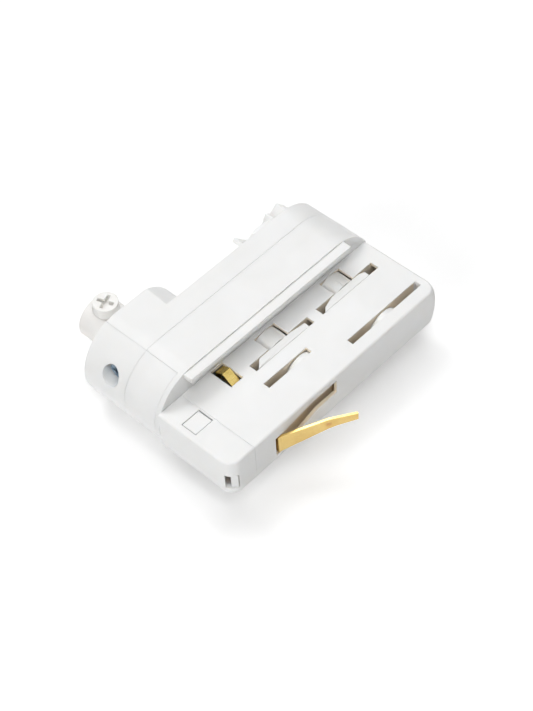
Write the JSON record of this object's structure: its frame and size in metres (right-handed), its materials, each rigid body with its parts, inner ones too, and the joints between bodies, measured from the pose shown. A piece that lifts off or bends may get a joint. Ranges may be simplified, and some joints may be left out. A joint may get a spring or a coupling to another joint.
{
  "type": "track light adapter",
  "caption": "White plastic adapter that hangs a spotlight on a lighting track: slab with turning contact rotors, sprung brass contacts, wide body with selector knob and a threaded nipple boss.",
  "frame": {"origin": "middle of the slab's length on the body's upper wall, where the adapter meets the track", "axes": "+X along the track away from the nipple boss, +Y across it to the side with the small contact window, +Z into the track"},
  "size_m": [0.1026, 0.0342, 0.0976],
  "materials": {
    "body_white": "satin moulded polycarbonate",
    "rotor_white": "plain moulded",
    "spring_brass": "bright rolled strip",
    "contact_brass": "polished",
    "zinc_steel": "zinc plated",
    "clear_nylon": "translucent natural nylon",
    "fibre": "pressed fibre"
  },
  "bodies": {
    "housing": {"track_housing": "body_white", "slab_end_cap": "body_white", "collar_end_cover": "body_white", "room_cover": "body_white", "room_end_cover": "body_white", "end_cover_screw": "zinc_steel", "nipple_boss": "body_white", "thrust_washers": "fibre", "earth_strip": "spring_brass", "neutral_strip": "spring_brass", "phase_strip": "spring_brass", "terminal_block": "rotor_white", "terminal_clamps": "spring_brass", "terminal_screws": "zinc_steel"},
    "neutral_lock": {"neutral_rotor": "rotor_white", "neutral_blade": "contact_brass", "neutral_ring": "spring_brass", "neutral_dial": "body_white", "dial_screw": "zinc_steel"},
    "phase_lock": {"phase_rotor": "rotor_white", "phase_blade": "contact_brass", "phase_ring": "spring_brass", "selector_knob": "body_white", "knob_screw": "zinc_steel"},
    "earth_contact": {"earth_spring": "spring_brass"},
    "side_spring": {"side_contact": "contact_brass"},
    "nipple_clamp": {"nipple_clamp_screw": "clear_nylon"}
  },
  "joints": [
    {"name": "neutral_turn", "type": "hinge", "parent": "housing", "child": "neutral_lock", "pos_m": [-0.002, 0, 0], "axis": [0, 0, 1], "range_deg": [-90, 0]},
    {"name": "phase_turn", "type": "hinge", "parent": "housing", "child": "phase_lock", "pos_m": [0.0302, 0, 0], "axis": [0, 0, 1], "range_deg": [-90, 90]},
    {"name": "earth_flex", "type": "hinge", "parent": "housing", "child": "earth_contact", "pos_m": [-0.0281, -0.00135, 0.0322], "axis": [0, 1, 0], "range_deg": [0, 26], "stiffness_Nm_per_rad": 0.2},
    {"name": "side_flex", "type": "hinge", "parent": "housing", "child": "side_spring", "pos_m": [-0.0227, 0.00347, 0.01089], "axis": [1, 0, 0], "range_deg": [-9, 0], "stiffness_Nm_per_rad": 0.05},
    {"name": "clamp_travel", "type": "slide", "parent": "housing", "child": "nipple_clamp", "axis": [0, 1, 0], "range_m": [0, 0.002]}
  ]
}
